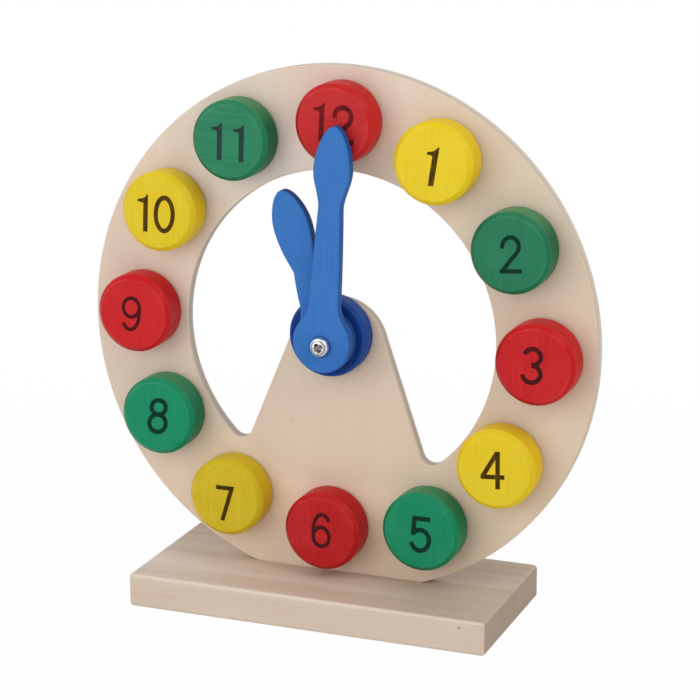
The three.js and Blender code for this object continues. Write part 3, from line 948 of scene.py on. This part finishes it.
# Lengths in millimetres, shares of the length, the turn from upright in degrees, how far ahead of
# the plate the back stands, and the painted shade on the sawn edge
hand_shapes = {
    "hour": dict(reach=62.9, tip=0.243, leaf=0.291, leaf_width=15.6, neck_width=9.6,
                 foot_width=12.4, hold=0.10, turn=-17.3, back=9.2, edge=(10, 38, 102)),
    "minute": dict(reach=87.75, tip=0.207, leaf=0.169, leaf_width=15.4, neck_width=9.5,
                   foot_width=12.4, hold=0.33, turn=3.9, back=14.2, edge=(26, 76, 150)),
}


def hand_outline(shape):
    """The outline of a hand that points up, round the bore that it turns on."""
    foot_reach, shaft_share, swell_share, shoulder_share = 1.35, 0.75, 0.35, 0.44
    reach = shape["reach"] * mm - hand_bore_drop
    leaf_height = reach * (1 - shape["tip"])
    neck_height = leaf_height - reach * shape["leaf"]
    leaf, neck, foot = [shape[part] * mm / 2 for part in ("leaf_width", "neck_width", "foot_width")]
    foot_x, foot_y = hand_end_radius * cos(foot_angle), hand_end_radius * sin(foot_angle)
    foot_bend = foot_y + (foot_x - foot) / tan(foot_angle)
    foot_top = hand_end_radius * foot_reach
    middle = (foot_top + neck_height) / 2
    shaft = neck + (foot - neck) * shaft_share
    rise = leaf_height - neck_height
    neck_end = neck_height + rise * shape["hold"]
    swell = neck_end + rise * swell_share
    shoulder = leaf_height + (reach - leaf_height) * shoulder_share
    right = []
    for controls, steps in (
        ([(foot_x, foot_y), (foot, foot_bend), (foot, foot_top)], 12),
        ([(foot, foot_top), (shaft, middle), (neck, neck_height)], 12),
        ([(neck, neck_height), (neck, neck_end), (leaf, swell), (leaf, leaf_height)], 24),
        ([(leaf, leaf_height), (leaf, shoulder), (leaf / 2, reach), (0, reach)], 24),
    ):
        right += bezier(controls, steps)[1 if right else 0:]
    left = [Vector((-p.x, p.y)) for p in right[-2::-1]]
    end = arc(0, 0, hand_end_radius, pi - foot_angle, 2 * pi + foot_angle, hand_end_segments)
    return [p + Vector((0, hand_bore_drop)) for p in right + left + end[1:-1]]


for name, shape in hand_shapes.items():
    blue = blue_paint(f"{name}_hand_blue", body=(54, 110, 182), worn=(92, 144, 206),
                      deep=(20, 66, 140), grain_scales=(1500, 1500, 40),
                      flat=(0.3, (58, 113, 182)), edge=(0.7, shape["edge"]))
    bore = arc(0, 0, pivot_bore, 2 * pi, 0, bore_segments)[1:]
    loops = [(hand_outline(shape), hand_edge_radius), (bore, 0)]
    hand_mesh = sawn_board(f"{name}_hand_leaf", loops, hand_thickness, hand_edge_steps,
                           Matrix.Translation((0, -shape["back"] * mm, 0)) @ upright)
    hand_place = pivot_place @ Matrix.Rotation(radians(shape["turn"]), 4, "Y")
    dressed(f"{name}_hand_leaf", hand_mesh, blue, f"{name}_hand", f"{name}_hand",
            hand_place)

# Pivot screw. A plated pan-head wood screw with a cross recess, driven through both hands into
# the hub. The hands turn on its smooth shank.
pivot_tip = -0.8 * mm
pivot_tip_length = 4 * mm
pivot_shank = 2 * mm
pivot_head_radius = 4 * mm
pivot_head_back = 19.2 * mm
pivot_rim = 0.9 * mm
pivot_shoulder_radius = 3.55 * mm
pivot_shoulder = 1.9 * mm
pivot_dome_radius = 2.3 * mm
pivot_dome = 0.12 * mm
pivot_segments = 64
pivot_mesh = turned("pivot_pan_screw", [
    (0, pivot_tip), (pivot_shank, pivot_tip + pivot_tip_length), (pivot_shank, pivot_head_back),
    (pivot_head_radius, pivot_head_back, 0.12 * mm),
    (pivot_head_radius, pivot_head_back + pivot_rim, 0.5 * mm),
    (pivot_shoulder_radius, pivot_head_back + pivot_shoulder, 0.7 * mm),
    (pivot_dome_radius, pivot_head_front - pivot_dome, 0.6 * mm), (0, pivot_head_front),
], pivot_segments)
recess_place = upright @ Matrix.Rotation(radians(28), 4, "Z")
recess = cross_recess(half_length=2.05 * mm, half_width=0.72 * mm, floor_share=0.5,
                      depth=1.1 * mm, top=pivot_head_front, place=recess_place)
pivot_mesh = cut(pivot_mesh, [recess], radians(30))
dressed("pivot_pan_screw", pivot_mesh, steel, "pivot_screw", "stand", pivot_place)

# Studio. A white table and surround, one soft lamp at the front left and a little above, and a
# weaker one at the right. The table keeps the object's shadow.
table_radius = 4
table_segments = 96
ambient_light = 0.56
white = (1, 1, 1, 1)


def seen_ray(start):
    """1 for what the camera, a mirror or glass sees, and 0 for what lights the object."""
    rays = [start.node("LightPath", {}, {}, ray)
            for ray in ("Is Camera Ray", "Is Glossy Ray", "Is Transmission Ray")]
    return rays[0].math("MAXIMUM", rays[0], rays[1].math("MAXIMUM", rays[1], rays[2]))


floor_form = bmesh.new()
bmesh.ops.create_circle(floor_form, cap_ends=True, segments=table_segments, radius=table_radius)
floor = new_object("studio_floor", mesh_from("studio_floor", floor_form, Matrix.Identity(4)))
floor_white, start, where = new_material("studio_floor_white")
matt = start.node("BsdfDiffuse", {}, {"Color": (0.93, 0.93, 0.93, 1)})
glow = start.node("Emission", {}, {"Color": white, "Strength": 1})
away = start.node("VectorMath", {"operation": "LENGTH"}, {0: where}, "Value")
# Near the object the table glows a little less, which leaves its shadow
glow_share = 0.97 + span(start, away, 0.13, 0.40) * 0.03
mixed = start.node("MixShader", {}, {0: seen_ray(start) * glow_share, 1: matt, 2: glow})
start.node("OutputMaterial", {}, {"Surface": mixed})
floor.data.materials.append(floor_white)

world = bpy.data.worlds.new("studio")
bpy.context.scene.world = world
world.use_nodes = True
world.node_tree.nodes.clear()
start = Wire(world.node_tree)
ambient = start.node("Background", {}, {"Color": white, "Strength": ambient_light})
backdrop = start.node("Background", {}, {"Color": white, "Strength": 1})
mixed = start.node("MixShader", {}, {0: seen_ray(start), 1: ambient, 2: backdrop})
start.node("OutputWorld", {}, {"Surface": mixed})

dial_middle = Vector((-0.2 * mm, plate_front, dial_height + 1 * mm))


def direction(azimuth, elevation):
    """Towards a place round the object. Azimuth 0 is straight in front, and it grows to the
    right. Both are in degrees."""
    a, e = radians(azimuth), radians(elevation)
    return Vector((sin(a) * cos(e), -cos(a) * cos(e), sin(e)))


# Each lamp: its azimuth and elevation in degrees, its distance and size in metres, and its watts
lamps = (("left_lamp", -30, 14, 1.1, 1.4, 7.1), ("right_lamp", 60, 42, 0.8, 0.45, 1.5))
for name, azimuth, elevation, distance, size, power in lamps:
    lamp = bpy.data.lights.new(name, "AREA")
    lamp.shape = "DISK"
    lamp.size = size
    lamp.energy = power
    holder = new_object(name, lamp)
    aim = direction(azimuth, elevation)
    faced = aim.to_track_quat("Z", "Y").to_matrix().to_4x4()
    holder.matrix_world = Matrix.Translation(dial_middle + aim * distance) @ faced

# Camera. It stands to the right of the dial and a little above it, where the photograph was
# taken, with a long lens and a small shift that give the photograph's framing.
camera_azimuth = 21.632
camera_elevation = 14.703
camera_distance = 0.95307
camera_roll = radians(0.227)
camera = bpy.data.cameras.new("camera")
camera.sensor_width = 36
camera.lens = 122.75
camera.shift_x = 0.0176
camera.shift_y = -0.0284
camera.clip_start = 0.01
back = direction(camera_azimuth, camera_elevation)
right = Vector((0, 0, 1)).cross(back).normalized()
up = back.cross(right)
right, up = (right * cos(camera_roll) - up * sin(camera_roll),
             right * sin(camera_roll) + up * cos(camera_roll))
viewpoint = new_object("camera", camera)
faced = Matrix((right, up, back)).transposed().to_4x4()
viewpoint.matrix_world = Matrix.Translation(dial_middle + back * camera_distance) @ faced
bpy.context.scene.camera = viewpoint
bpy.context.scene.view_settings.view_transform = "Standard"
